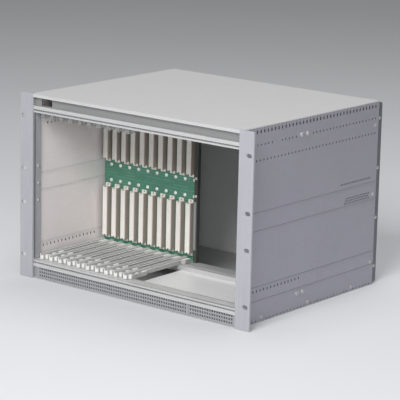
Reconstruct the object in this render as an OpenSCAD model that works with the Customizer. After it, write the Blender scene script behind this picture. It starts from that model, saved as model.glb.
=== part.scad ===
// Seven-unit subrack card cage: two perforated side sheets, folded mounting ears,
// four extruded cross rails with tapped strips, ten pairs of card guides in front of
// a half-width backplane, an open bay beside it, and sheet covers all round.
// X runs to the right seen from the front, Y to the rear and Z up.
// The origin is at the middle of the footprint, on the base.

/* [Rack front] */
// Reach of an ear beyond the inner face of its side sheet
ear_reach = 25.4; // [22:0.1:34]
// Thickness of an ear's front plate
ear_t = 2.5; // [1.5:0.1:4]
// Thickness of an ear's inner flange
ear_flange_t = 2.54; // [1.5:0.01:3.5]
// Reach of that flange behind the front plate
ear_flange_reach = 17.5; // [15:0.5:30]
// Distance from an ear's outer edge to its slot centres
slot_edge = 8.75; // [7.5:0.05:10]
// Height between the outer slots of an ear
outer_slot_spread = 234.95; // [200:0.05:260]
// Height between the inner slots of an ear
inner_slot_spread = 57.15; // [40:0.05:90]
// End-to-end length of a mounting slot
slot_l = 10.3; // [7.5:0.1:11]
// Width of a mounting slot
slot_w = 6.8; // [5:0.1:7.2]

/* [Body] */
// Clear width between the side sheets, which is also the length of the rails
inner_w = 431.8; // [425:0.1:436]
// Thickness of a side sheet
side_t = 2.5; // [1.5:0.1:3.5]
// Length of a side sheet from front to rear
side_depth = 359.5; // [330:0.5:480]
// Reach of the rear flanges behind the side sheets
rear_reach = 13; // [12:0.5:25]
// Thickness of a rear flange
rear_flange_t = 2; // [1:0.1:3]
// Thickness of the cover, base and rear sheets
sheet_t = 1.5; // [1:0.1:2.5]
// Step from the top of the ears down to the cover
cover_step = 0.8; // [0:0.1:3]
// Height of the cover's folded front lip
cover_lip_h = 5; // [3:0.1:9]

/* [Side perforation] */
// Spacing of the side slots along a row
vent_pitch = 9; // [7:0.1:14]
// Width of a side slot
vent_w = 3; // [1.5:0.1:4.5]
// Height of a side slot
vent_h = 5; // [3:0.1:6]
// Width of a stiffening bead
bead_w = 1.8; // [1:0.1:3]
// Height of a stiffening bead over the sheet
bead_h = 0.6; // [0.3:0.1:1]

/* [Cross rails] */
// Height of the air space under the lower rails, and over the upper ones
plenum_h = 22.2; // [19:0.1:60]
// Height of a rail
rail_h = 10.25; // [9.8:0.05:14]
// Depth of a front rail
front_rail_d = 21.5; // [20:0.1:30]
// Depth of a rear rail
rear_rail_d = 37.7; // [34:0.1:50]
// Spacing of the tapped holes
tapped_pitch = 5.08; // [4:0.01:8]
// Height of the hook lip along a rail's outer edge
hook_h = 1.8; // [1:0.1:3]

/* [Air grille] */
// Length of the shorter grille, at the right
short_grille_l = 98; // [60:1:200]

/* [Card section] */
// Number of card slots
card_slots = 10; // [2:1:10]
// Spacing of the card slots
card_pitch = 20.32; // [20.32:0.01:21.5]
// Distance from the left side sheet to the first slot
first_slot = 12.7; // [12:0.1:15]
// Distance from the rails' front plane to the backplane
card_room = 175.24; // [165:0.01:220]
// Height of a card
card_h = 233.35; // [200:0.01:300]
// Distance from a card's edge to the tapped line of its rail
card_to_tapped = 11.225; // [11:0.005:13]
// Width of a guide's head
head_w = 19.2; // [14:0.1:19.8]
// Length of a guide's front head
front_head_l = 43; // [25:0.5:60]
// Length of a guide's rear head
rear_head_l = 13; // [8:0.5:20]
// Width of a guide between its heads
guide_w = 10; // [7:0.1:13]
// Width of the groove that a card runs in
groove_w = 2.2; // [1.8:0.1:3]
// Depth of that groove
groove_depth = 3.2; // [2:0.1:4.5]

/* [Backplane] */
// Thickness of the backplane board
board_t = 3.2; // [1.6:0.1:5]
// Board beyond the tapped lines of the rear rails
board_lap = 3.125; // [2:0.005:4]
// Board beyond the first and last slot centres
board_margin = 9.8; // [8:0.1:10]
// Height between the lower and upper connector rows
row_spread = 133.35; // [125:0.05:140]
// Width of a connector
conn_w = 10.6; // [8:0.1:14]
// Height of a connector's body
conn_h = 85; // [60:0.5:88]
// Height over a connector's end flanges
conn_flange_h = 95; // [94:0.5:105]
// Reach of a connector in front of the board
conn_reach = 11.4; // [8:0.1:12]

/* [Hidden] */
$fn = 32;
// Running clearance of pieces that slide into one another
fit = 0.1;
eps = 0.01;

// Depths are measured from the ears' front face
body_y = ear_t;
body_rear = body_y + side_depth;
total_d = body_rear + rear_reach;
half_w = inner_w / 2;
rack_w = inner_w + 2 * ear_reach;
slot_span = rack_w - 2 * slot_edge;
tapped_z = 5.05;
tapped_spread = card_h + 2 * card_to_tapped;
front_h = 2 * (plenum_h + tapped_z) + tapped_spread;
cover_top = front_h - cover_step;
cover_z = cover_top - sheet_t;
mid_z = front_h / 2;

// Ears
ear_inner_x = half_w - ear_flange_t;
ear_screw_y = body_y + 12;
ear_screw_rise = [-25, 4, 33];
ear_groove_w = 3;

// Rails: local y starts at the tapped face, local z at the outer edge
rail_z = plenum_h;
rail_shelf = rail_h - 1.25;
rib_h = 0.6;
rib_w = 1.2;
rib_pitch = 3;
crest_w = 4;
strip_w = 4.6;
strip_t = 2;
strip_mouth = 2.6;
strip_lip = 1.2;
hook_t = 2.8;
plate_slot_z = 0.8;
plate_slot_d = 3.2;
core_y = 11.6;
core_pitch = 15;
core_r = 2.2;
board_y = body_y + card_room;
rear_rail_y = board_y - rear_rail_d;

// Card slots and guides
slot_x = [for (i = [0:card_slots - 1]) -half_w + first_slot + i * card_pitch];
last_slot_x = slot_x[card_slots - 1];
guide_z = rail_z + rail_h;
groove_floor = mid_z - card_h / 2 - guide_z - 0.3;
guide_h = groove_floor + groove_depth;
guide_y = body_y + 9.5;
guide_l = board_y - conn_reach - 1.3 - guide_y;
head_taper = 5;
nose_w = 7;
nose_l = 5;

// Backplane
board_h = tapped_spread + 2 * board_lap;
board_left = slot_x[0] - board_margin;
board_right = last_slot_x + board_margin;
conn_flange_t = 3.2;
tap_x = 5;
tap_spread = 27.2;
support_w = 6.8;
support_d = 7;

// Fasteners
m25_r = 1.2;
m3_r = 1.5;
m4_r = 2;
shank_gap = 0.1;
screw_pad = 7;

rail_core_z = rail_z + tapped_z;
rail_screw_ys = [
    body_y + core_y,
    board_y - core_y,
    board_y - core_y - core_pitch
];
rail_screw_at = [
    for (z = [rail_core_z, front_h - rail_core_z])
        for (y = rail_screw_ys) [y, z]
];
ear_screw_at = [for (dz = ear_screw_rise) [ear_screw_y, mid_z + dz]];
flange_in = 24;
flange_screw_at = [for (dz = [-115, 0, 115]) [body_rear - 9, mid_z + dz]];
base_fold_h = 12.5;
base_fold_from = body_y + 28;
base_fold_to = body_rear - flange_in - 8;
base_screw_at = [
    for (k = [0.1, 0.5, 0.9])
        [base_fold_from + k * (base_fold_to - base_fold_from), sheet_t + base_fold_h / 2]
];
side_screw_at = concat(rail_screw_at, ear_screw_at, flange_screw_at, base_screw_at);

guide_ids = [for (i = [1:10]) str(i < 10 ? "0" : "", i)];

// ---- Placing helpers ----

// Moves a shape whose y starts at the ears' front face to the footprint's middle
module placed() {
    translate([0, -total_d / 2, 0]) children();
}

// Copies a left-hand shape to the right
module right_hand() {
    mirror([1, 0, 0]) children();
}

// Turns a lower shape into its upper twin about the card section's middle
module upper_twin() {
    translate([0, 0, front_h]) mirror([0, 0, 1]) children();
}

// Extrudes an outline drawn in y and z along +X, from x
module along_x(x, length) {
    translate([x, 0, 0]) rotate([90, 0, 90]) linear_extrude(length) children();
}

// Extrudes an outline drawn in x and z along +Y, from y
module along_y(y, length) {
    translate([0, y + length, 0]) rotate([90, 0, 0]) linear_extrude(length) children();
}

// A pan-head screw along -Z under its seat, with the head above
module pan_screw(r, length) {
    translate([0, 0, -length]) cylinder(r = r, h = length + eps);
    difference() {
        union() {
            cylinder(r = 1.9 * r, h = 0.6 * r);
            translate([0, 0, 0.6 * r - eps]) cylinder(r1 = 1.9 * r, r2 = 1.4 * r, h = 0.4 * r);
        }
        translate([0, 0, 0.5 * r]) {
            cube([2.2 * r, 0.4 * r, 2 * r], center = true);
            cube([0.4 * r, 2.2 * r, 2 * r], center = true);
        }
    }
}

// ---- Side sheets ----

function clear_of_screws(y, z) =
    min([for (p = side_screw_at) norm([y, z] - p)]) > screw_pad;

// One row of upright slots at height z, between two depths
module vent_row(z, from, to, w = vent_w, h = vent_h, pitch = vent_pitch) {
    for (y = [from:pitch:to])
        if (clear_of_screws(y, z)) translate([y, z]) square([w, h], center = true);
}

module side_vents() {
    margin = 8;
    rear = body_rear - margin;
    fine = vent_pitch / 2;
    rail_row_z = front_h - rail_z - 6.95;
    // Ticks along the cover seam and the base edge
    vent_row(cover_z, body_y + margin, rear, vent_w / 2, vent_h / 2);
    vent_row(3, body_y + margin, rear, vent_w * 0.6, vent_h * 0.5);
    // Long rows over and under the upper rails
    vent_row(cover_z - 6.5, body_y + margin, rear);
    vent_row(rail_row_z, body_y + 28, rear_rail_y - 57, vent_w * 0.7, vent_h * 0.6);
    vent_row(rail_row_z, rear_rail_y - 39.5, rear, vent_w * 0.7, vent_h * 0.6);
    vent_row(front_h - guide_z - 20.7, body_y + 35, rear, vent_w * 0.7, vent_h * 0.6);
    // Front row over the lower guides
    vent_row(guide_z + 18.7, body_y + 26, board_y - 17, vent_w * 0.7, vent_h * 0.8);
    // Close rows near the rear edge
    vent_row(mid_z + 29, body_rear - 100, rear - 8, vent_w * 0.6, vent_h * 0.6, fine);
    for (k = [0:2])
        vent_row(
            mid_z - 4 + 4 * k, body_rear - 88 + 2 * k, rear - 12, vent_w * 0.6, vent_h * 0.5, fine
        );
}

module side_screw_holes() {
    for (p = rail_screw_at) translate(p) circle(r = m4_r + shank_gap);
    for (p = concat(ear_screw_at, flange_screw_at, base_screw_at))
        translate(p) circle(r = m3_r + shank_gap);
}

module left_side_panel() {
    outer_beads = [mid_z + 20, mid_z - 9, mid_z - 98, rail_z + rail_h + 2];
    inner_beads = [mid_z + 20, mid_z - 9, mid_z - 98];
    inner_from = body_y + ear_flange_reach + 4;
    inner_to = body_rear - flange_in - 4;
    color("lightgray") placed() {
        along_x(-half_w - side_t, side_t) difference() {
            translate([body_y, 0]) square([side_depth, cover_z]);
            side_vents();
            side_screw_holes();
        }
        for (z = outer_beads)
            along_y(body_y, side_depth)
                translate([-half_w - side_t - bead_h, z - bead_w / 2]) square([2 * bead_h, bead_w]);
        for (z = inner_beads)
            along_y(inner_from, inner_to - inner_from)
                translate([-half_w - bead_h, z - bead_w / 2]) square([2 * bead_h, bead_w]);
    }
}

module right_side_panel() {
    right_hand() left_side_panel();
}

// ---- Mounting ears ----

module ear_slot_holes() {
    for (spread = [outer_slot_spread, inner_slot_spread])
        for (side = [-1, 1])
            translate([-slot_span / 2, mid_z + side * spread / 2])
                for (end = [-1, 1]) {
                    translate([end * (slot_l - slot_w) / 2, 0]) circle(r = slot_w / 2);
                    square([slot_l - slot_w, slot_w], center = true);
                }
}

module left_mounting_ear() {
    flange_from = guide_z + 0.6;
    color("gainsboro") placed() difference() {
        union() {
            along_y(0, ear_t) difference() {
                translate([-rack_w / 2, 0]) square([rack_w / 2 - ear_inner_x, front_h]);
                ear_slot_holes();
            }
            translate([-half_w, ear_t - eps, flange_from])
                cube([ear_flange_t, ear_flange_reach, front_h - 2 * flange_from]);
        }
        // Gasket groove along the flange
        translate([-ear_inner_x - 1, ear_t + 1, -1]) cube([2, ear_groove_w, front_h + 2]);
        for (p = ear_screw_at)
            translate([-half_w - 1, p[0], p[1]]) rotate([0, 90, 0])
                cylinder(r = m3_r + shank_gap, h = ear_flange_t + 2);
    }
}

module right_mounting_ear() {
    right_hand() left_mounting_ear();
}

// ---- Covers ----

module top_cover() {
    notch = ear_inner_x - 0.15;
    outer = half_w + side_t;
    rear_lip_w = inner_w - 32;
    color("silver") placed() difference() {
        union() {
            translate([0, 0, cover_z]) linear_extrude(sheet_t) union() {
                translate([-notch, 0]) square([2 * notch, body_y + 1]);
                translate([-outer, body_y + fit]) square([2 * outer, side_depth - fit]);
            }
            translate([-notch, 0, cover_top - cover_lip_h])
                cube([2 * notch, sheet_t, cover_lip_h - sheet_t + eps]);
            translate([-rear_lip_w / 2, body_rear - sheet_t, cover_z - 12])
                cube([rear_lip_w, sheet_t, 12 + eps]);
        }
        cover_screw_places() translate([0, 0, -4]) cylinder(r = m3_r + shank_gap, h = 8);
    }
}

// The strip that closes the front between the cover and the upper rail
module top_front_strip() {
    opening = 23.3;
    opening_x = -half_w + 17;
    opening_z = front_h - rail_z + 3.2;
    color("darkgray") placed() along_y(body_y + hook_t + fit, sheet_t) difference() {
        translate([-half_w + fit, front_h - rail_z]) square([inner_w - 2 * fit, cover_z - front_h + rail_z]);
        translate([opening_x, opening_z]) square([opening, cover_z - 3.4 - opening_z]);
    }
}

module bottom_cover() {
    plate_w = inner_w - 2 * fit;
    color("silver") placed() difference() {
        union() {
            translate([-plate_w / 2, body_y + fit, 0]) cube([plate_w, side_depth - fit, sheet_t]);
            for (side = [-1, 1])
                translate([side * (plate_w - sheet_t) / 2, base_fold_from, 0])
                    translate([-sheet_t / 2, 0, 0])
                        cube([sheet_t, base_fold_to - base_fold_from, sheet_t + base_fold_h]);
        }
        for (p = base_screw_at)
            translate([-half_w, p[0], p[1]]) rotate([0, 90, 0])
                cylinder(r = m3_r + shank_gap, h = inner_w);
    }
}

module rear_panel() {
    outer = half_w - rear_flange_t;
    panel_y = body_rear - 2 * sheet_t;
    return_to = total_d - rear_flange_t - 1;
    color("dimgray") placed() difference() {
        union() {
            translate([-outer, panel_y, sheet_t]) cube([2 * outer, sheet_t, cover_z - sheet_t]);
            for (side = [-1, 1])
                translate([side * (outer - sheet_t / 2), panel_y, sheet_t + 4])
                    translate([-sheet_t / 2, 0, 0])
                        cube([sheet_t, return_to - panel_y, cover_z - sheet_t - 8]);
        }
        for (p = panel_screw_at)
            translate([-half_w, p[0], p[1]]) rotate([0, 90, 0])
                cylinder(r = m3_r + shank_gap, h = inner_w);
        cover_screw_places() translate([0, 0, -4]) cylinder(r = m3_r + shank_gap, h = 8);
    }
}

module left_rear_flange() {
    foot = sheet_t + 0.5;
    head = cover_z - 2;
    from = body_rear - flange_in;
    corner_r = 5;
    lip_w = 10;
    color("lightsteelblue") placed() difference() {
        union() {
            along_x(-half_w, rear_flange_t) union() {
                translate([from, foot]) square([total_d - from - corner_r, head - foot]);
                translate([from, foot + corner_r]) square([total_d - from, head - foot - 2 * corner_r]);
                for (z = [foot + corner_r, head - corner_r])
                    translate([total_d - corner_r, z]) circle(r = corner_r);
            }
            translate([-half_w, total_d - rear_flange_t, foot + corner_r])
                cube([lip_w, rear_flange_t, head - foot - 2 * corner_r]);
        }
        for (p = concat(flange_screw_at, panel_screw_at))
            translate([-half_w - 1, p[0], p[1]]) rotate([0, 90, 0])
                cylinder(r = m3_r + shank_gap, h = rear_flange_t + 2);
    }
}

module right_rear_flange() {
    right_hand() left_rear_flange();
}

// ---- Cross rails ----

// Section of a rail: tapped face at y 0, outer edge at z 0, card side upwards
module rail_section(depth, cores, hook) {
    wall = 1.6;
    difference() {
        union() {
            square([depth, rail_shelf]);
            translate([depth - crest_w, 0]) square([crest_w, rail_h]);
            for (k = [0:2])
                translate([depth - crest_w - rib_pitch * (k + 1), 0]) square([rib_w, rail_shelf + rib_h]);
            if (hook > 0) translate([0, -hook]) square([hook_t, hook + eps]);
        }
        // T-slot of the tapped strip
        translate([-1, tapped_z - strip_mouth / 2]) square([strip_lip + 1 + eps, strip_mouth]);
        translate([strip_lip, tapped_z - strip_w / 2 - fit])
            square([strip_t + fit, strip_w + 2 * fit]);
        // Screw cores, with hollow chambers between them
        for (y = cores) translate([y, tapped_z]) circle(r = core_r);
        for (y = concat(cores, [depth - 6.6 + core_pitch / 2]))
            translate([y - core_pitch / 2, wall])
                square([core_y - strip_lip - strip_t - core_r - 2 * wall - 0.6, rail_shelf - 2 * wall]);
        // Groove for a floor plate, on the face towards the card space
        translate([depth - plate_slot_d, plate_slot_z]) square([plate_slot_d + 1, sheet_t + 2 * fit]);
    }
}

module front_rail_body() {
    placed() translate([0, 0, rail_z]) along_x(-half_w, inner_w)
        translate([body_y, 0]) rail_section(front_rail_d, [core_y], hook_h);
}

module rear_rail_body() {
    placed() translate([0, 0, rail_z]) along_x(-half_w, inner_w)
        translate([board_y, 0]) mirror([1, 0]) rail_section(rear_rail_d, [core_y, core_y + core_pitch], 0);
}

module front_bottom_rail() { color("gainsboro") front_rail_body(); }

module front_top_rail() { color("gainsboro") upper_twin() front_rail_body(); }

module rear_bottom_rail() { color("gainsboro") rear_rail_body(); }

module rear_top_rail() { color("gainsboro") upper_twin() rear_rail_body(); }

// The strip in a rail's T-slot, drilled once in every tapped pitch
module tapped_strip(y) {
    placed() along_y(y, strip_t) difference() {
        translate([-half_w + fit, rail_core_z - strip_w / 2]) square([inner_w - 2 * fit, strip_w]);
        for (x = [slot_x[0]:tapped_pitch:half_w - 4]) translate([x, rail_core_z]) circle(r = m25_r);
        for (x = [slot_x[0]:-tapped_pitch:-half_w + 2.4]) translate([x, rail_core_z]) circle(r = m25_r);
    }
}

module front_strip() { tapped_strip(body_y + strip_lip); }

module rear_strip() { tapped_strip(board_y - strip_lip - strip_t); }

module front_bottom_tapped_strip() { color("gray") front_strip(); }

module front_top_tapped_strip() { color("gray") upper_twin() front_strip(); }

module rear_bottom_tapped_strip() { color("gray") rear_strip(); }

module rear_top_tapped_strip() { color("gray") upper_twin() rear_strip(); }

// ---- Air grille and bay floor ----

// One length of the folded grille that closes the front under the lower rail
module air_grille(from, to, open_from, open_to) {
    hole_w = 2.4;
    hole_h = 3.4;
    hole_pitch = 4.8;
    fold = 11;
    grille_y = body_y + hook_t + fit;
    placed() {
        along_y(grille_y, sheet_t) difference() {
            translate([from, sheet_t]) square([to - from, rail_z - sheet_t]);
            for (x = [open_from:hole_pitch:open_to])
                for (row = [0:2])
                    translate([x, sheet_t + (row + 0.8) * (rail_z - sheet_t) / 3.6])
                        square([hole_w, hole_h], center = true);
        }
        translate([from, grille_y, sheet_t]) cube([to - from, fold, sheet_t]);
    }
}

grille_seam = half_w - short_grille_l;

module air_grille_left() {
    color("darkgray") air_grille(-half_w + fit, grille_seam - 0.2, -half_w + 15, grille_seam - 4);
}

module air_grille_right() {
    color("darkgray") air_grille(grille_seam + 0.2, half_w - fit, grille_seam + 4, half_w - 10);
}

// The plate that closes the floor of the empty bay, held in the rails' grooves
module bay_floor_plate() {
    from = board_right + 1;
    y_from = body_y + front_rail_d - plate_slot_d + fit;
    y_to = rear_rail_y + plate_slot_d - fit;
    color("gainsboro") placed()
        translate([from, y_from, rail_z + plate_slot_z])
            cube([half_w - fit - from, y_to - y_from, sheet_t]);
}

// ---- Card guides ----

// Plan of a guide: nose, wide front head, slim channel, wide rear head
module guide_plan() {
    rear_y = guide_l - rear_head_l;
    half_plan = [
        [nose_w / 2, 0],
        [nose_w / 2, nose_l],
        [head_w / 2 - 1, nose_l],
        [head_w / 2, nose_l + 1],
        [head_w / 2, front_head_l],
        [guide_w / 2, front_head_l + head_taper],
        [guide_w / 2, rear_y - head_taper],
        [head_w / 2, rear_y],
        [head_w / 2, guide_l]
    ];
    other_half = [for (k = [len(half_plan) - 1:-1:0]) [-half_plan[k][0], half_plan[k][1]]];
    polygon(concat(half_plan, other_half));
}

// A guide with its card groove on top, lying on the rails at z 0
module guide() {
    wall = 1.6;
    difference() {
        linear_extrude(guide_h) guide_plan();
        // Card groove, with a flared mouth
        translate([-groove_w / 2, -1, groove_floor]) cube([groove_w, guide_l + 2, groove_depth + 1]);
        translate([0, 0, groove_floor]) linear_extrude(groove_depth + 1)
            polygon([[-groove_w / 2 - 1, -1], [groove_w / 2 + 1, -1], [groove_w / 2, 6], [-groove_w / 2, 6]]);
        // Shoulders of the heads, lower than the groove's walls
        for (side = [-1, 1]) {
            translate([side * (groove_w / 2 + wall + head_w / 2), guide_l / 2, guide_h])
                cube([head_w, guide_l + 2, 2 * groove_depth * 0.7], center = true);
            // Windows through the front head
            for (k = [0:1])
                translate([side * (groove_w / 2 + head_w / 2) / 2 + side * 0.4, nose_l + 11 + k * 16, 0])
                    cube([head_w / 2 - groove_w / 2 - 3.6, 10, 4 * guide_h], center = true);
        }
        // Hollow underside of the slim channel
        for (side = [-1, 1])
            translate([side * (guide_w / 4 + 0.5), guide_l / 2 + 15, 0])
                cube([guide_w / 2 - 1 - wall, guide_l - front_head_l - rear_head_l - 30, 2 * groove_floor - 3],
                    center = true);
    }
}

module lower_guide(i) {
    color("whitesmoke") placed() translate([slot_x[i], guide_y, guide_z]) guide();
}

module upper_guide(i) {
    upper_twin() lower_guide(i);
}

// ---- Backplane ----

module backplane_board() {
    color("seagreen") placed() along_y(board_y, board_t) difference() {
        translate([board_left, mid_z - board_h / 2]) square([board_right - board_left, board_h]);
        for (x = board_screw_xs, z = [rail_core_z, front_h - rail_core_z])
            translate([x, z]) circle(r = m25_r + shank_gap);
        for (x = slot_x, side = [-1, 1])
            translate([x + tap_x, mid_z + side * tap_spread / 2]) circle(r = m3_r + shank_gap);
    }
}

// A two-part socket: chamfered body, keyed at both ends, with drilled end flanges
module connector() {
    chamfer = 0.9;
    key = 3;
    flange_hole_z = conn_flange_h / 2 - 2.5;
    difference() {
        union() {
            translate([0, 0, -conn_h / 2]) linear_extrude(conn_h) polygon([
                [-conn_w / 2, 0],
                [-conn_w / 2, chamfer - conn_reach],
                [chamfer - conn_w / 2, -conn_reach],
                [conn_w / 2 - chamfer, -conn_reach],
                [conn_w / 2, chamfer - conn_reach],
                [conn_w / 2, 0]
            ]);
            translate([-conn_w / 2, -conn_flange_t, -conn_flange_h / 2])
                cube([conn_w, conn_flange_t, conn_flange_h]);
        }
        for (side = [-1, 1]) {
            translate([0, -conn_reach, side * conn_h / 2]) cube([key, 8, key], center = true);
            translate([0, 0, side * flange_hole_z]) rotate([90, 0, 0])
                cylinder(r = 1.4, h = 4 * conn_flange_t, center = true);
        }
    }
}

module connector_row(z) {
    color("ivory") placed() for (x = slot_x) translate([x, board_y, z]) connector();
}

module lower_connectors() { connector_row(mid_z - row_spread / 2); }

module upper_connectors() { connector_row(mid_z + row_spread / 2); }

support_x = board_right + 0.3;
support_screw_z = [mid_z - 11, mid_z + 19];

// The upright that stands between the rear rails along the board's free edge
module board_edge_support() {
    foot = rail_z + rail_shelf;
    color("darkslategray") placed() difference() {
        translate([support_x, board_y - support_d, foot]) cube([support_w, support_d, front_h - 2 * foot]);
        for (z = support_screw_z)
            translate([support_x + support_w / 2, board_y + 1, z]) rotate([90, 0, 0])
                cylinder(r = m25_r + shank_gap, h = support_d + 2);
    }
}

module edge_contact_strip() {
    socket_z = mid_z - row_spread / 2;
    strip_from = socket_z - conn_h / 2 + 7.2;
    strip_to = socket_z + conn_h / 2 + 3.7;
    color("silver") placed()
        translate([support_x + 1, board_y - support_d - 2, strip_from])
            cube([support_w - 2, 2, strip_to - strip_from]);
}

// ---- Fasteners ----

board_screw_xs = [for (i = [0:3:card_slots - 1]) slot_x[i]];
panel_screw_at = [for (dz = [-125, -42, 42, 125]) [body_rear + (rear_reach - rear_flange_t) / 2, mid_z + dz]];

// Places a screw on the outside of both side sheets or flanges, at depth x[0] and height x[1]
module both_sides(points, seat_x) {
    placed() for (side = [-1, 1], p = points)
        translate([side * seat_x, p[0], p[1]]) rotate([0, side * 90, 0]) children();
}

module rail_screws() {
    color("silver") both_sides(rail_screw_at, half_w + side_t) pan_screw(m4_r, side_t + 12);
}

module ear_screws() {
    color("silver") placed() for (side = [-1, 1], p = ear_screw_at)
        translate([side * ear_inner_x, p[0], p[1]]) rotate([0, -side * 90, 0])
            pan_screw(m3_r, ear_flange_t + side_t);
}

module rear_flange_screws() {
    color("silver") both_sides(flange_screw_at, half_w + side_t) pan_screw(m3_r, side_t + rear_flange_t);
}

module rear_panel_screws() {
    color("silver") both_sides(panel_screw_at, half_w) pan_screw(m3_r, rear_flange_t + sheet_t);
}

module bottom_cover_screws() {
    color("silver") both_sides(base_screw_at, half_w + side_t) pan_screw(m3_r, side_t + fit + sheet_t);
}

// Axes of the screws through the cover's rear lip, pointing to the rear
module cover_screw_places() {
    for (k = [-2:2])
        translate([k * inner_w / 5.4, body_rear, cover_z - 6]) rotate([-90, 0, 0]) children();
}

module cover_screws() {
    color("silver") placed() cover_screw_places() pan_screw(m3_r, 2 * sheet_t);
}

module backplane_screws() {
    color("silver") placed() for (x = board_screw_xs, z = [rail_core_z, front_h - rail_core_z])
        translate([x, board_y + board_t, z]) rotate([-90, 0, 0])
            pan_screw(m25_r - 0.05, board_t + strip_lip + strip_t);
}

module power_tap_screws() {
    color("silver") placed() for (x = slot_x, side = [-1, 1])
        translate([x + tap_x, board_y, mid_z + side * tap_spread / 2]) rotate([90, 0, 0])
            pan_screw(m3_r, board_t + 3.5);
}

module power_tap_nuts() {
    color("silver") placed() for (x = slot_x, side = [-1, 1])
        translate([x + tap_x, board_y + board_t, mid_z + side * tap_spread / 2]) rotate([-90, 0, 0])
            difference() {
                cylinder(r = 3.1, h = 2.4, $fn = 6);
                translate([0, 0, -1]) cylinder(r = m3_r + 0.05, h = 5);
            }
}

module edge_support_screws() {
    color("silver") placed() for (z = support_screw_z)
        translate([support_x + support_w / 2, board_y - support_d, z]) rotate([90, 0, 0])
            pan_screw(m25_r, support_d);
}

// ---- Nodes ----

left_side_panel();
right_side_panel();
left_mounting_ear();
right_mounting_ear();
top_cover();
top_front_strip();
bottom_cover();
rear_panel();
left_rear_flange();
right_rear_flange();
front_bottom_rail();
front_top_rail();
rear_bottom_rail();
rear_top_rail();
front_bottom_tapped_strip();
front_top_tapped_strip();
rear_bottom_tapped_strip();
rear_top_tapped_strip();
air_grille_left();
air_grille_right();
bay_floor_plate();
backplane_board();
lower_connectors();
upper_connectors();
board_edge_support();
edge_contact_strip();
for (i = [0:card_slots - 1]) {
    lower_guide(i);
    upper_guide(i);
}
rail_screws();
ear_screws();
rear_flange_screws();
rear_panel_screws();
bottom_cover_screws();
cover_screws();
backplane_screws();
power_tap_screws();
power_tap_nuts();
edge_support_screws();
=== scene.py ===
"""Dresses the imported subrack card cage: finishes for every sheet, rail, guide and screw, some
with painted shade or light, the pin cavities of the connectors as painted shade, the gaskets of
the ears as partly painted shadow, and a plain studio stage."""

import math

import bpy
import numpy as np
from bpy.props import FloatProperty, FloatVectorProperty, IntProperty, PointerProperty
from mathutils import Matrix, Vector


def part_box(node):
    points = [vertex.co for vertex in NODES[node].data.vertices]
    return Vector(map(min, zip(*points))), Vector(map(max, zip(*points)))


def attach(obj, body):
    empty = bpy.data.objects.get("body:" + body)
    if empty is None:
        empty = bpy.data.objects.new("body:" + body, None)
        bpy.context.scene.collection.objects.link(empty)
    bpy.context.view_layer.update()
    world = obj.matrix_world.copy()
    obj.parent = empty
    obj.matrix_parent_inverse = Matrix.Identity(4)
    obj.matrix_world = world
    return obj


bl_info = {
    "name": "Card Cage Dressing",
    "version": (1, 0, 0),
    "blender": (4, 5, 0),
    "location": "View3D > Sidebar > Card Cage",
    "description": "Finishes, connector cavities, gaskets and stage for a subrack card cage",
    "category": "Object",
}

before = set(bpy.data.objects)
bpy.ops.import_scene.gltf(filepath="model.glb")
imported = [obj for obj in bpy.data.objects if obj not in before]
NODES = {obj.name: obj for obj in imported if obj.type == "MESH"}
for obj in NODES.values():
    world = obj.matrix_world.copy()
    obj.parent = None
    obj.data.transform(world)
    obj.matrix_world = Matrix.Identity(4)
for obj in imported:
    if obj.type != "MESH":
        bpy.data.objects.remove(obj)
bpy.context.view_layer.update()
MM = 0.001

# Stretch of the drawn grain along x, y and z: the lines run long across the small number.
SHEET_GRAIN_X = (0.8, 30.0, 30.0)
SHEET_GRAIN_Y = (30.0, 0.8, 30.0)
RAIL_GRAIN_X = (0.2, 8.0, 8.0)
EAR_GRAIN_Z = (8.0, 8.0, 0.2)
UPRIGHT_GRAIN_Z = (6.0, 6.0, 0.25)
EVEN_GRAIN = (9.0, 9.0, 9.0)
GRAIN_SCALE = 40.0
SPECKLE_SCALE = 1600.0
TRACK_SCALE = 62.0

# Bump distances in metres.
GRAIN_RELIEF = 0.00005
MOULDING_RELIEF = 0.00004
TRACK_RELIEF = 0.00004

# How squarely a face looks along x where its painted shade starts and where it is full.
VENT_FACING = (0.25, 0.1)
FLANK_FACING = (0.4, 0.8)

CAVITY_TAPER = 0.72
GASKET_FILL = 0.9
GASKET_ACROSS = 13
GASKET_END_STEPS = 6
GASKET_LENGTH_STEPS = 38

# Name, place and width of each lamp; its power is a setting of the stage.
LAMPS = (
    ("key", (0.8, -2.7, 2.35), 1.5),
    ("side", (2.4, -2.2, 1.0), 1.6),
    ("top", (0.1, 0.5, 2.6), 2.0),
)
LAMP_AIM = (0.0, 0.0, 0.15)
FLOOR_REACH = 9.0
SENSOR_WIDTH = 36.0


def colour_property(name, description, default):
    """A colour that the sidebar shows with a swatch, in linear values."""
    return FloatVectorProperty(
        name=name, description=description, default=default,
        subtype="COLOR", size=3, min=0.0, max=1.0,
    )


def length_property(name, description, default_mm):
    """A length in metres whose default is given in millimetres."""
    return FloatProperty(
        name=name, description=description, default=default_mm * MM, min=0.0, unit="LENGTH"
    )


def power_property(name, default):
    """The power of one lamp in watts."""
    return FloatProperty(
        name=name, description=f"{name} lamp power in W", default=default, min=0.0
    )


# ---- Settings ----


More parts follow.
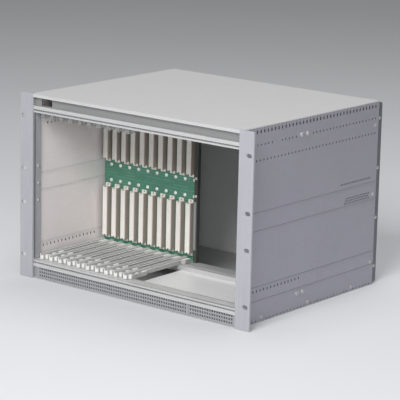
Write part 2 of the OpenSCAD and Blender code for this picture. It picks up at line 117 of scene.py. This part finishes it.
class CageColours(bpy.types.PropertyGroup):
    """Colours of the finishes, some of them painted shade or painted light as marked below."""

    # Painted light: the right and left side sheets are one sheet metal, not an anodised and a
    # plain one; the right colour is painted darker and bluer for the shade on the outside wall,
    # the left colour painted lighter for the light on the inner wall.
    sheet: colour_property("Right side", "Anodised right side sheet", (0.365, 0.357, 0.408))
    lit_left_sheet: colour_property("Left side", "Plain left side sheet", (0.84, 0.79, 0.785))
    # Painted shade: near black for the unlit walls of the side sheets' vent holes.
    vent_wall_shade: colour_property("Vent edge", "Walls of the side sheets' holes", (0.10, 0.10, 0.11))
    ear: colour_property("Ear", "Front plates of the mounting ears", (0.44, 0.44, 0.475))
    cover: colour_property("Cover", "Top cover", (0.525, 0.525, 0.525))
    # Painted shade: the strip's dark grey stands for the shade under the cover's lip.
    front_strip: colour_property("Front strip", "Strip under the cover's lip", (0.30, 0.30, 0.30))
    rear_panel: colour_property("Rear panel", "Rear panel", (0.88, 0.88, 0.87))
    base: colour_property("Base cover", "Base cover", (0.52, 0.52, 0.52))
    rear_flange: colour_property("Rear flange", "Rear corner flanges", (0.16, 0.165, 0.19))
    rail: colour_property("Rail", "Extruded cross rails", (0.60, 0.60, 0.60))
    tapped_strip: colour_property("Tapped strip", "Steel strips in the rails", (0.42, 0.42, 0.42))
    grille: colour_property("Grille", "Perforated air grille", (0.40, 0.40, 0.42))
    floor_plate: colour_property("Floor plate", "Floor of the open bay", (0.92, 0.92, 0.92))
    guide: colour_property("Lower guide", "Lower card guides", (0.76, 0.76, 0.74))
    # Painted shade: the upper guides are the same moulding as the lower ones, painted darker for
    # the shade under the top.
    shaded_upper_guide: colour_property("Upper guide", "Upper card guides", (0.38, 0.38, 0.37))
    # Painted shade: the guides' sides facing along x are darkened for the shade in the grooves
    # between them.
    guide_flank_shade: colour_property("Guide flank", "Sides of the guides", (0.38, 0.38, 0.37))
    board: colour_property("Board", "Solder resist of the backplane", (0.065, 0.215, 0.145))
    board_track: colour_property("Board track", "Resist over copper tracks", (0.095, 0.290, 0.190))
    connector: colour_property("Connector", "Connector mouldings", (0.82, 0.785, 0.735))
    # Painted shade: the connectors' sides are dark brown for the shade in the gaps between them.
    connector_flank_shade: colour_property("Flank", "Sides of the connectors", (0.40, 0.34, 0.30))
    # Painted shade: the pin cavities are raised frusta in a darker tone that stands for the shade
    # inside the pin holes.
    cavity: colour_property("Cavity", "Pin cavities of the connectors", (0.60, 0.57, 0.53))
    # Painted shade: near black for the shade on the upright behind the board's edge.
    support: colour_property("Support", "Upright at the board's edge", (0.055, 0.060, 0.055))
    contact: colour_property("Contact strip", "Strip on the upright", (0.36, 0.36, 0.36))
    screw: colour_property("Screw", "Zinc plated fasteners", (0.62, 0.62, 0.60))
    tap_screw: colour_property("Tap screw", "Bright screws of the power taps", (0.95, 0.95, 0.93))
    # Partly painted shadow: near black for the shadow line along the ears' inner edges, where a
    # textile gasket is assumed.
    gasket: colour_property("Gasket", "Textile gaskets of the ears", (0.11, 0.11, 0.115))


class CageSizes(bpy.types.PropertyGroup):
    """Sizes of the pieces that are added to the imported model."""

    connector_width: length_property("Connector width", "Width of one connector", 10.6)
    connector_count: IntProperty(
        name="Connectors in a row", description="Connectors in a row", default=10, min=2
    )
    cavity_rows: IntProperty(
        name="Cavity rows", description="Cavities up a connector's face", default=32, min=2
    )
    cavity_columns: IntProperty(
        name="Cavity columns", description="Columns of cavities", default=3, min=1
    )
    cavity_pitch: length_property("Cavity pitch", "Spacing of the pin cavities", 2.54)
    cavity_size: length_property("Cavity size", "Width of a pin cavity", 1.1)
    cavity_rise: length_property("Cavity rise", "Height of a cavity's rim", 0.05)
    ear_plate: length_property("Ear plate", "Thickness of an ear's front plate", 2.5)
    gasket_inset: length_property("Gasket inset", "Gap between plate and gasket groove", 1.0)
    gasket_width: length_property("Gasket width", "Width of the gasket groove", 3.0)
    gasket_rise: length_property("Gasket rise", "Rise of the gasket over the flange", 0.7)
    gasket_gap: length_property("Gasket gap", "Gap between rail and gasket", 1.0)


class CageStage(bpy.types.PropertyGroup):
    """Camera, lamps and floor."""

    camera_at: FloatVectorProperty(
        name="Camera", description="Camera position", default=(2.042, -2.5383, 0.8885),
        subtype="TRANSLATION", size=3,
    )
    pan: FloatProperty(
        name="Pan", description="Turn to the left of straight ahead",
        default=math.radians(38.973), subtype="ANGLE",
    )
    tilt: FloatProperty(
        name="Tilt", description="Tilt below the horizon",
        default=math.radians(13.0), subtype="ANGLE",
    )
    roll: FloatProperty(
        name="Roll", description="Turn about the view axis",
        default=math.radians(1.289), subtype="ANGLE",
    )
    lens: FloatProperty(name="Lens", description="Focal length in mm", default=182.61, min=1.0)
    key_power: power_property("Key", 110.0)
    side_power: power_property("Side", 30.0)
    top_power: power_property("Top", 25.0)
    room_light: FloatProperty(
        name="Room", description="Light from all round", default=0.25, min=0.0
    )
    floor_colour: colour_property("Floor", "Studio floor", (0.62, 0.63, 0.65))
    backdrop_colour: colour_property("Backdrop", "What the camera sees beyond", (0.86, 0.87, 0.89))


# ---- Node helpers ----


def add_node(tree, kind, **values):
    """A node of that kind with its plain attributes set."""
    node = tree.nodes.new(kind)
    for key, value in values.items():
        setattr(node, key, value)
    return node


def blend_colours(tree, factor, first, second):
    """Mixes two colours, or a colour and a socket, by a factor socket."""
    mix = add_node(tree, "ShaderNodeMix", data_type="RGBA")
    tree.links.new(factor, mix.inputs[0])
    for socket, value in ((mix.inputs[6], first), (mix.inputs[7], second)):
        if isinstance(value, bpy.types.NodeSocket):
            tree.links.new(value, socket)
        else:
            socket.default_value = (*value, 1.0)
    return mix.outputs[2]


def arithmetic(tree, operation, first, second):
    """One step of arithmetic on two sockets or numbers."""
    step = add_node(tree, "ShaderNodeMath", operation=operation)
    for socket, value in zip(step.inputs, (first, second)):
        if isinstance(value, bpy.types.NodeSocket):
            tree.links.new(value, socket)
        else:
            socket.default_value = value
    return step.outputs[0]


def spread_value(tree, value, low, high, to_low=0.0, to_high=1.0):
    """Maps a value from one range to another and clamps it."""
    spread = add_node(tree, "ShaderNodeMapRange")
    tree.links.new(value, spread.inputs["Value"])
    ends = {"From Min": low, "From Max": high, "To Min": to_low, "To Max": to_high}
    for name, number in ends.items():
        spread.inputs[name].default_value = number
    return spread.outputs["Result"]


def new_group(name, inputs, outputs):
    """An empty shader group with named sockets, and its two end nodes."""
    tree = bpy.data.node_groups.new(name, "ShaderNodeTree")
    for label, kind, default in inputs:
        socket = tree.interface.new_socket(name=label, in_out="INPUT", socket_type=kind)
        socket.default_value = default
    for label, kind in outputs:
        tree.interface.new_socket(name=label, in_out="OUTPUT", socket_type=kind)
    return tree, tree.nodes.new("NodeGroupInput"), tree.nodes.new("NodeGroupOutput")


def stretched_noise(tree, stretch, scale, detail):
    """Noise on the object's own coordinates, stretched by a vector socket or three numbers."""
    coords = tree.nodes.new("ShaderNodeTexCoord")
    mapping = add_node(tree, "ShaderNodeMapping", vector_type="POINT")
    tree.links.new(coords.outputs["Object"], mapping.inputs["Vector"])
    if isinstance(stretch, bpy.types.NodeSocket):
        tree.links.new(stretch, mapping.inputs["Scale"])
    else:
        mapping.inputs["Scale"].default_value = stretch
    noise = tree.nodes.new("ShaderNodeTexNoise")
    noise.inputs["Scale"].default_value = scale
    noise.inputs["Detail"].default_value = detail
    tree.links.new(mapping.outputs["Vector"], noise.inputs["Vector"])
    return noise.outputs["Fac"]


def bump_normal(tree, height, strength, distance):
    """A normal from a height socket."""
    bump = tree.nodes.new("ShaderNodeBump")
    bump.inputs["Distance"].default_value = distance
    tree.links.new(height, bump.inputs["Height"])
    if isinstance(strength, bpy.types.NodeSocket):
        tree.links.new(strength, bump.inputs["Strength"])
    else:
        bump.inputs["Strength"].default_value = strength
    return bump.outputs["Normal"]


# ---- Shared effects ----


def drawn_grain_group():
    """Fine lines of rolled or extruded metal, long across the small numbers of Stretch."""
    tree, source, target = new_group(
        "drawn_grain",
        [("Stretch", "NodeSocketVector", (1.0, 1.0, 1.0)), ("Depth", "NodeSocketFloat", 0.2)],
        [("Tone", "NodeSocketFloat"), ("Normal", "NodeSocketVector")],
    )
    lines = stretched_noise(tree, source.outputs["Stretch"], GRAIN_SCALE, 3.0)
    tone = spread_value(tree, lines, 0.35, 0.65)
    tree.links.new(tone, target.inputs["Tone"])
    normal = bump_normal(tree, tone, source.outputs["Depth"], GRAIN_RELIEF)
    tree.links.new(normal, target.inputs["Normal"])
    return tree


def handling_marks_group():
    """Wide soft patches where the finish is a little duller."""
    tree, source, target = new_group(
        "handling_marks", [("Amount", "NodeSocketFloat", 1.0)], [("Mask", "NodeSocketFloat")]
    )
    broad = stretched_noise(tree, (1.0, 1.0, 1.0), 9.0, 4.0)
    fine = stretched_noise(tree, (1.0, 2.6, 1.0), 55.0, 5.0)
    wide_patches = spread_value(tree, broad, 0.40, 0.66)
    patches = arithmetic(tree, "MULTIPLY", wide_patches, spread_value(tree, fine, 0.3, 0.7))
    mask = arithmetic(tree, "MULTIPLY", patches, source.outputs["Amount"])
    tree.links.new(mask, target.inputs["Mask"])
    return tree


def moulded_speckle_group():
    """The fine spark-eroded surface of a moulding, with faint flow tones."""
    tree, source, target = new_group(
        "moulded_speckle",
        [("Depth", "NodeSocketFloat", 0.2)],
        [("Tone", "NodeSocketFloat"), ("Normal", "NodeSocketVector")],
    )
    speckle = stretched_noise(tree, (1.0, 1.0, 1.0), SPECKLE_SCALE, 2.0)
    flow = stretched_noise(tree, (1.0, 1.0, 0.4), 70.0, 3.0)
    tree.links.new(spread_value(tree, flow, 0.35, 0.65), target.inputs["Tone"])
    normal = bump_normal(tree, speckle, source.outputs["Depth"], MOULDING_RELIEF)
    tree.links.new(normal, target.inputs["Normal"])
    return tree


def board_tracks_group():
    """Resist-covered tracks that run level across the board, broken up along their length."""
    tree, source, target = new_group(
        "board_tracks",
        [("Depth", "NodeSocketFloat", 0.3)],
        [("Mask", "NodeSocketFloat"), ("Normal", "NodeSocketVector")],
    )
    coords = tree.nodes.new("ShaderNodeTexCoord")
    wave = add_node(tree, "ShaderNodeTexWave", wave_type="BANDS", bands_direction="Z")
    wave.inputs["Scale"].default_value = TRACK_SCALE
    wave.inputs["Distortion"].default_value = 0.0
    tree.links.new(coords.outputs["Object"], wave.inputs["Vector"])
    bands = spread_value(tree, wave.outputs["Fac"], 0.45, 0.6)
    breaks = spread_value(tree, stretched_noise(tree, (1.0, 1.0, 3.0), 60.0, 1.0), 0.42, 0.52)
    mask = arithmetic(tree, "MULTIPLY", bands, breaks)
    tree.links.new(mask, target.inputs["Mask"])
    normal = bump_normal(tree, mask, source.outputs["Depth"], TRACK_RELIEF)
    tree.links.new(normal, target.inputs["Normal"])
    return tree


def shared_group(name, make):
    """The shader group of that name, made on first use."""
    return bpy.data.node_groups.get(name) or make()


# ---- Materials ----


def new_material(name):
    """A material with only a Principled shader, and that shader."""
    material = bpy.data.materials.new(name)
    material.use_nodes = True
    return material, material.node_tree, material.node_tree.nodes["Principled BSDF"]


def place_group(tree, group, **values):
    """Puts a shared group into a material with its own values."""
    node = tree.nodes.new("ShaderNodeGroup")
    node.node_tree = group
    for label, value in values.items():
        node.inputs[label].default_value = value
    return node


def shade(colour, factor):
    """The colour made darker or lighter by a factor."""
    return tuple(min(1.0, channel * factor) for channel in colour)


def sheet_metal(
    name, colour, stretch, metallic=0.45, roughness=0.42, depth=0.1, contrast=0.035, marks=0.3
):
    """Rolled or extruded metal: drawn lines, duller patches, and roughness that follows the
    patches.
    """
    material, tree, shader = new_material(name)
    grain_group = shared_group("drawn_grain", drawn_grain_group)
    grain = place_group(tree, grain_group, Stretch=stretch, Depth=depth)
    dull = place_group(tree, shared_group("handling_marks", handling_marks_group), Amount=marks)
    darker, lighter = shade(colour, 1 - contrast), shade(colour, 1 + contrast / 2)
    lined = blend_colours(tree, grain.outputs["Tone"], darker, lighter)
    worn = blend_colours(tree, dull.outputs["Mask"], lined, shade(colour, 0.86))
    tree.links.new(worn, shader.inputs["Base Color"])
    rough = spread_value(tree, dull.outputs["Mask"], 0.0, 1.0, roughness, roughness + 0.16)
    tree.links.new(rough, shader.inputs["Roughness"])
    tree.links.new(grain.outputs["Normal"], shader.inputs["Normal"])
    shader.inputs["Metallic"].default_value = metallic
    return material


def moulding(name, colour, roughness=0.5, depth=0.25, contrast=0.07):
    """A moulded plastic with a fine speckle and faint flow tones."""
    material, tree, shader = new_material(name)
    speckle_group = shared_group("moulded_speckle", moulded_speckle_group)
    speckle = place_group(tree, speckle_group, Depth=depth)
    dull = place_group(tree, shared_group("handling_marks", handling_marks_group), Amount=0.4)
    toned = blend_colours(tree, speckle.outputs["Tone"], shade(colour, 1 - contrast), colour)
    worn = blend_colours(tree, dull.outputs["Mask"], toned, shade(colour, 0.9))
    tree.links.new(worn, shader.inputs["Base Color"])
    rough = spread_value(tree, speckle.outputs["Tone"], 0.0, 1.0, roughness, roughness + 0.08)
    tree.links.new(rough, shader.inputs["Roughness"])
    tree.links.new(speckle.outputs["Normal"], shader.inputs["Normal"])
    return material


def paint_shade_by_facing(material, facing_range, tone):
    """Paints shade on the faces that look along x, or on the others if the range falls."""
    tree, shader = material.node_tree, material.node_tree.nodes["Principled BSDF"]
    coords = tree.nodes.new("ShaderNodeTexCoord")
    axes = tree.nodes.new("ShaderNodeSeparateXYZ")
    tree.links.new(coords.outputs["Normal"], axes.inputs[0])
    squareness = arithmetic(tree, "ABSOLUTE", axes.outputs["X"], 0.0)
    facing = spread_value(tree, squareness, *facing_range)
    plain = shader.inputs["Base Color"].links[0].from_socket
    tree.links.new(blend_colours(tree, facing, plain, tone), shader.inputs["Base Color"])
    return material


def board_laminate(name, resist, track):
    """Green solder resist, lighter where it covers a track."""
    material, tree, shader = new_material(name)
    tracks = place_group(tree, shared_group("board_tracks", board_tracks_group), Depth=0.35)
    dull = place_group(tree, shared_group("handling_marks", handling_marks_group), Amount=0.5)
    toned = blend_colours(tree, tracks.outputs["Mask"], resist, track)
    worn = blend_colours(tree, dull.outputs["Mask"], toned, shade(resist, 0.8))
    tree.links.new(worn, shader.inputs["Base Color"])
    rough = spread_value(tree, dull.outputs["Mask"], 0.0, 1.0, 0.34, 0.5)
    tree.links.new(rough, shader.inputs["Roughness"])
    tree.links.new(tracks.outputs["Normal"], shader.inputs["Normal"])
    return material


def finish_nodes(names, material):
    """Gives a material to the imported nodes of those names."""
    for name in names:
        for slot in NODES[name].material_slots:
            slot.material = material


def both_hands(name):
    """A node's left and right names."""
    return [f"left_{name}", f"right_{name}"]


# ---- Surfaces ----


def box_of(name):
    """A node's lowest and highest corners as two arrays, in metres."""
    low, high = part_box(name)
    return np.array(low), np.array(high)


def mesh_piece(name, points, faces, material, smooth=False):
    """An object at the origin, from an array of points and an array of quads."""
    mesh = bpy.data.meshes.new(name)
    mesh.from_pydata(points.reshape(-1, 3).tolist(), [], faces.tolist())
    mesh.polygons.foreach_set("use_smooth", np.full(len(faces), smooth))
    mesh.update()
    mesh.materials.append(material)
    piece = bpy.data.objects.new(name, mesh)
    bpy.context.collection.objects.link(piece)
    return piece


def grid_faces(rows, columns):
    """Quads of a grid: point (i, j) joins (i + 1, j), (i + 1, j + 1) and (i, j + 1)."""
    i, j = np.meshgrid(np.arange(rows - 1), np.arange(columns - 1), indexing="ij")
    corner = (i * columns + j).ravel()
    return np.stack([corner, corner + columns, corner + columns + 1, corner + 1], axis=1)


def centred_steps(count, pitch):
    """Evenly spaced places either side of zero."""
    return (np.arange(count) - (count - 1) / 2) * pitch


def cavity_points(centres, size, rise):
    """Frusta on a plane of constant y: a foot square, and a narrower one rise in front of it.

    Point k of a square is centre + size / 2 * (cos, sin)(45 degrees + 90 degrees * k) * sqrt(2).
    """
    turn = np.pi / 4 + np.arange(4) * np.pi / 2
    square = np.stack([np.cos(turn), np.zeros(4), np.sin(turn)], axis=1) * size / np.sqrt(2)
    foot = centres[:, None, :] + square
    mouth = centres[:, None, :] + square * CAVITY_TAPER + np.array([0.0, -rise, 0.0])
    return np.concatenate([foot, mouth], axis=1)


def cavity_faces(count):
    """Four sloping sides and the mouth of each frustum, 8 points apiece."""
    sides = [[k, (k + 1) % 4, 4 + (k + 1) % 4, 4 + k] for k in range(4)]
    one = np.array(sides + [[4, 5, 6, 7]])
    return (one[None, :, :] + 8 * np.arange(count)[:, None, None]).reshape(-1, 4)


def gasket_surface(centre_x, bulge, y_middle, width, z_low, z_high):
    """A half-round strip that stands out from the plane x = centre.

    x = centre + bulge * sin(a) and y = middle - width / 2 * cos(a), a from 0 to 180 degrees.
    The last part of each end closes down to the flange as a quarter of an ellipse.
    """
    across = np.linspace(0, np.pi, GASKET_ACROSS)
    quarter = np.linspace(0, np.pi / 2, GASKET_END_STEPS)
    ends = np.sin(quarter)
    z = np.concatenate([
        z_low + width * (1 - np.cos(quarter)),
        np.linspace(z_low + width, z_high - width, GASKET_LENGTH_STEPS + 2)[1:-1],
        z_high - width * (1 - np.cos(quarter[::-1])),
    ])
    swell = np.concatenate([ends, np.ones(GASKET_LENGTH_STEPS), ends[::-1]])
    x = centre_x + bulge * np.sin(across)[None, :] * swell[:, None]
    y = y_middle - width / 2 * np.cos(across)[None, :] * np.ones_like(z)[:, None]
    return np.stack([x, y, np.broadcast_to(z[:, None], x.shape)], axis=2)


# ---- Operators ----


class CAGE_OT_finish_sheets(bpy.types.Operator):
    """Finish the side sheets, covers, rear panel and rear flanges"""

    bl_idname = "cage.finish_sheets"
    bl_label = "Finish Sheets"

    def execute(self, context):
        colours = context.scene.cage_colours
        # Painted shade and light: the right sheet takes the shaded copy of the side sheets' colour
        # and the left sheet the lit copy, with a different metallic value.
        shaded_right_sheet = sheet_metal("side_sheet", colours.sheet, SHEET_GRAIN_Y)
        # Painted shade on the walls of the vent holes, in both side sheets.
        paint_shade_by_facing(shaded_right_sheet, VENT_FACING, colours.vent_wall_shade)
        finish_nodes(["right_side_panel"], shaded_right_sheet)
        plain = sheet_metal("left_side_sheet", colours.lit_left_sheet, SHEET_GRAIN_Y, metallic=0.2)
        paint_shade_by_facing(plain, VENT_FACING, colours.vent_wall_shade)
        finish_nodes(["left_side_panel"], plain)
        cover = sheet_metal(
            "cover_sheet", colours.cover, SHEET_GRAIN_Y, metallic=0.1, roughness=0.5
        )
        finish_nodes(["top_cover"], cover)
        # Painted shade: the front strip is darker for the shade under the cover's lip.
        strip = sheet_metal("front_strip", colours.front_strip, SHEET_GRAIN_X)
        finish_nodes(["top_front_strip"], strip)
        finish_nodes(["bottom_cover"], sheet_metal("base_sheet", colours.base, SHEET_GRAIN_X))
        rear = sheet_metal(
            "rear_sheet", colours.rear_panel, SHEET_GRAIN_X, metallic=0.1, roughness=0.55
        )
        finish_nodes(["rear_panel"], rear)
        flange = sheet_metal("flange_sheet", colours.rear_flange, UPRIGHT_GRAIN_Z)
        finish_nodes(both_hands("rear_flange"), flange)
        return {"FINISHED"}


class CAGE_OT_finish_front(bpy.types.Operator):
    """Finish the ears, the cross rails with their tapped strips, the grille and the floor plate"""

    bl_idname = "cage.finish_front"
    bl_label = "Finish Ears and Rails"

    def execute(self, context):
        colours = context.scene.cage_colours
        places = ("front_bottom", "front_top", "rear_bottom", "rear_top")
        rails = [f"{place}_rail" for place in places]
        strips = [f"{place}_tapped_strip" for place in places]
        ear = sheet_metal("ear_plate", colours.ear, EAR_GRAIN_Z, metallic=0.3, contrast=0.04)
        finish_nodes(both_hands("mounting_ear"), ear)
        extrusion = sheet_metal(
            "rail_extrusion", colours.rail, RAIL_GRAIN_X, metallic=0.4, roughness=0.36
        )
        finish_nodes(rails, extrusion)
        steel = sheet_metal("tapped_steel", colours.tapped_strip, RAIL_GRAIN_X, metallic=0.7)
        finish_nodes(strips, steel)
        grille = sheet_metal("grille_sheet", colours.grille, RAIL_GRAIN_X)
        finish_nodes(["air_grille_left", "air_grille_right"], grille)
        plate = sheet_metal(
            "floor_plate", colours.floor_plate, RAIL_GRAIN_X, metallic=0.15, roughness=0.35
        )
        finish_nodes(["bay_floor_plate"], plate)
        return {"FINISHED"}


class CAGE_OT_finish_guides(bpy.types.Operator):
    """Finish the lower and upper card guides"""

    bl_idname = "cage.finish_guides"
    bl_label = "Finish Card Guides"

    def execute(self, context):
        colours = context.scene.cage_colours
        # Painted shade: the upper guides take a darker copy of the guide colour for the shade
        # under the top.
        for level, colour in (("lower", colours.guide), ("upper", colours.shaded_upper_guide)):
            guides = [name for name in NODES if name.startswith(f"{level}_guide")]
            material = moulding(f"{level}_guide_moulding", colour, contrast=0.03)
            # Painted shade on the guides' flanks.
            finish_nodes(guides, paint_shade_by_facing(material, FLANK_FACING, colours.guide_flank_shade))
        return {"FINISHED"}


class CAGE_OT_finish_backplane(bpy.types.Operator):
    """Finish the backplane board, its connectors, and the upright at its edge"""

    bl_idname = "cage.finish_backplane"
    bl_label = "Finish Backplane"

    def execute(self, context):
        colours = context.scene.cage_colours
        laminate = board_laminate("board_laminate", colours.board, colours.board_track)
        finish_nodes(["backplane_board"], laminate)
        sockets = moulding("connector_moulding", colours.connector, roughness=0.45)
        # Painted shade on the connectors' flanks.
        paint_shade_by_facing(sockets, FLANK_FACING, colours.connector_flank_shade)
        finish_nodes(["lower_connectors", "upper_connectors"], sockets)
        # Painted shade: the upright is near black for the shade it stands in.
        shaded_support = sheet_metal(
            "edge_support", colours.support, UPRIGHT_GRAIN_Z, metallic=0.1, roughness=0.6
        )
        finish_nodes(["board_edge_support"], shaded_support)
        contact = sheet_metal("contact_strip", colours.contact, UPRIGHT_GRAIN_Z, metallic=0.6)
        finish_nodes(["edge_contact_strip"], contact)
        return {"FINISHED"}


class CAGE_OT_finish_fasteners(bpy.types.Operator):
    """Finish the screws and nuts"""

    bl_idname = "cage.finish_fasteners"
    bl_label = "Finish Fasteners"

    def execute(self, context):
        fasteners = [name for name in NODES if name.endswith(("_screws", "_nuts"))]
        colours = context.scene.cage_colours
        zinc = sheet_metal(
            "zinc_plate", colours.screw, EVEN_GRAIN, metallic=0.7, roughness=0.34, marks=0.9
        )
        finish_nodes(fasteners, zinc)
        bright = sheet_metal(
            "tap_screw_plate", colours.tap_screw, EVEN_GRAIN, metallic=0.2, roughness=0.3
        )
        finish_nodes(["power_tap_screws"], bright)
        return {"FINISHED"}


class CAGE_OT_add_cavities(bpy.types.Operator):
    """Add the pin cavities on the connectors' faces, darker as painted shade for the holes"""

    bl_idname = "cage.add_cavities"
    bl_label = "Add Pin Cavities"

    def execute(self, context):
        sizes = context.scene.cage_sizes
        colours = context.scene.cage_colours
        # Painted shade: the cavities' darker moulding stands for the shade inside the pin holes.
        material = moulding("cavity_shade", colours.cavity, roughness=0.7, depth=0.1)
        columns = centred_steps(sizes.cavity_columns, sizes.cavity_pitch)
        rows = centred_steps(sizes.cavity_rows, sizes.cavity_pitch)
        half = sizes.connector_width / 2
        for node in ("lower_connectors", "upper_connectors"):
            low, high = box_of(node)
            slots = np.linspace(low[0] + half, high[0] - half, sizes.connector_count)
            middle = (low[2] + high[2]) / 2
            x, z = np.meshgrid((slots[:, None] + columns).ravel(), middle + rows, indexing="ij")
            centres = np.stack([x.ravel(), np.full(x.size, low[1]), z.ravel()], axis=1)
            points = cavity_points(centres, sizes.cavity_size, sizes.cavity_rise)
            faces = cavity_faces(len(centres))
            piece = mesh_piece(f"{node}_cavities", points, faces, material)
            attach(piece, "root")
        return {"FINISHED"}


class CAGE_OT_add_gaskets(bpy.types.Operator):
    """Add the gaskets in the grooves of the ears, near black as painted shadow along the ears'
    inner edges
    """

    bl_idname = "cage.add_gaskets"
    bl_label = "Add Gaskets"

    def execute(self, context):
        sizes = context.scene.cage_sizes
        colours = context.scene.cage_colours
        # Partly painted shadow: the gasket's near-black colour stands for the shadow line at the
        # ear's edge.
        material = moulding("gasket_textile", colours.gasket, roughness=0.9, depth=0.6)
        z_low = box_of("front_bottom_rail")[1][2] + sizes.gasket_gap
        z_high = box_of("front_top_rail")[0][2] - sizes.gasket_gap
        for hand, side in (("left", -1), ("right", 1)):
            low, high = box_of(f"{hand}_mounting_ear")
            face_x = high[0] if side < 0 else low[0]
            y_middle = low[1] + sizes.ear_plate + sizes.gasket_inset + sizes.gasket_width / 2
            width = sizes.gasket_width * GASKET_FILL
            bulge = -side * sizes.gasket_rise
            points = gasket_surface(face_x, bulge, y_middle, width, z_low, z_high)
            faces = grid_faces(*points.shape[:2])
            if side > 0:
                faces = faces[:, ::-1]
            piece = mesh_piece(f"{hand}_ear_gasket", points, faces, material, smooth=True)
            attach(piece, "root")
        return {"FINISHED"}


def area_lamp(name, at, aim, size, power):
    """A square soft lamp at a place, turned towards a point."""
    data = bpy.data.lights.new(name, "AREA")
    data.energy = power
    data.size = size
    lamp = bpy.data.objects.new(name, data)
    lamp.location = at
    lamp.rotation_euler = (Vector(aim) - Vector(at)).to_track_quat("-Z", "Y").to_euler()
    bpy.context.collection.objects.link(lamp)


def floor_material(colour):
    """A pale matte floor with a faint unevenness."""
    material, tree, shader = new_material("studio_floor")
    tone = spread_value(tree, stretched_noise(tree, (1.0, 1.0, 1.0), 2.0, 2.0), 0.3, 0.7)
    uneven = blend_colours(tree, tone, shade(colour, 0.98), colour)
    tree.links.new(uneven, shader.inputs["Base Color"])
    shader.inputs["Roughness"].default_value = 0.9
    return material


def studio_world(backdrop, strength):
    """Even light from all round, behind which the camera sees the pale backdrop."""
    world = bpy.data.worlds.new("studio")
    world.use_nodes = True
    tree = world.node_tree
    light = tree.nodes["Background"]
    light.inputs["Color"].default_value = (1.0, 1.0, 1.0, 1.0)
    light.inputs["Strength"].default_value = strength
    shown = tree.nodes.new("ShaderNodeBackground")
    shown.inputs["Color"].default_value = (*backdrop, 1.0)
    path = tree.nodes.new("ShaderNodeLightPath")
    direct, passed = path.outputs["Is Camera Ray"], path.outputs["Is Transmission Ray"]
    seen = arithmetic(tree, "MAXIMUM", direct, passed)
    mix = tree.nodes.new("ShaderNodeMixShader")
    tree.links.new(seen, mix.inputs[0])
    tree.links.new(light.outputs[0], mix.inputs[1])
    tree.links.new(shown.outputs[0], mix.inputs[2])
    tree.links.new(mix.outputs[0], tree.nodes["World Output"].inputs["Surface"])
    return world


class CAGE_OT_set_stage(bpy.types.Operator):
    """Set the floor, the lamps, the world and the camera"""

    bl_idname = "cage.set_stage"
    bl_label = "Set Stage"

    def execute(self, context):
        stage = context.scene.cage_stage
        corners = np.array([[-1, -1, 0], [1, -1, 0], [1, 1, 0], [-1, 1, 0]]) * FLOOR_REACH
        material = floor_material(stage.floor_colour)
        floor = mesh_piece("floor", corners, np.array([[0, 1, 2, 3]]), material)
        for name, at, width in LAMPS:
            area_lamp(name, at, LAMP_AIM, width, getattr(stage, f"{name}_power"))
        context.scene.world = studio_world(stage.backdrop_colour, stage.room_light)
        context.scene.view_settings.view_transform = "Standard"
        data = bpy.data.cameras.new("camera")
        data.sensor_width = SENSOR_WIDTH
        data.lens = stage.lens
        camera = bpy.data.objects.new("camera", data)
        turn = (
            Matrix.Rotation(stage.pan, 4, "Z")
            @ Matrix.Rotation(math.pi / 2 - stage.tilt, 4, "X")
            @ Matrix.Rotation(stage.roll, 4, "Z")
        )
        camera.matrix_world = Matrix.Translation(stage.camera_at) @ turn
        context.collection.objects.link(camera)
        context.scene.camera = camera
        return {"FINISHED"}


STEPS = (
    CAGE_OT_finish_sheets,
    CAGE_OT_finish_front,
    CAGE_OT_finish_guides,
    CAGE_OT_finish_backplane,
    CAGE_OT_finish_fasteners,
    CAGE_OT_add_cavities,
    CAGE_OT_add_gaskets,
    CAGE_OT_set_stage,
)


class CAGE_PT_panel(bpy.types.Panel):
    """Lists the dressing steps"""

    bl_label = "Card Cage"
    bl_idname = "CAGE_PT_panel"
    bl_space_type = "VIEW_3D"
    bl_region_type = "UI"
    bl_category = "Card Cage"

    def draw(self, context):
        for step in STEPS:
            self.layout.operator(step.bl_idname)


CLASSES = (CageColours, CageSizes, CageStage, *STEPS, CAGE_PT_panel)


def register():
    """Registers the classes and hangs the settings on the scene."""
    for entry in CLASSES:
        bpy.utils.register_class(entry)
    bpy.types.Scene.cage_colours = PointerProperty(type=CageColours)
    bpy.types.Scene.cage_sizes = PointerProperty(type=CageSizes)
    bpy.types.Scene.cage_stage = PointerProperty(type=CageStage)


def unregister():
    """Takes the settings and the classes away again."""
    del bpy.types.Scene.cage_stage
    del bpy.types.Scene.cage_sizes
    del bpy.types.Scene.cage_colours
    for entry in reversed(CLASSES):
        bpy.utils.unregister_class(entry)


def main():
    register()
    for step in STEPS:
        group, name = step.bl_idname.split(".")
        getattr(getattr(bpy.ops, group), name)()


if __name__ == "__main__":
    main()
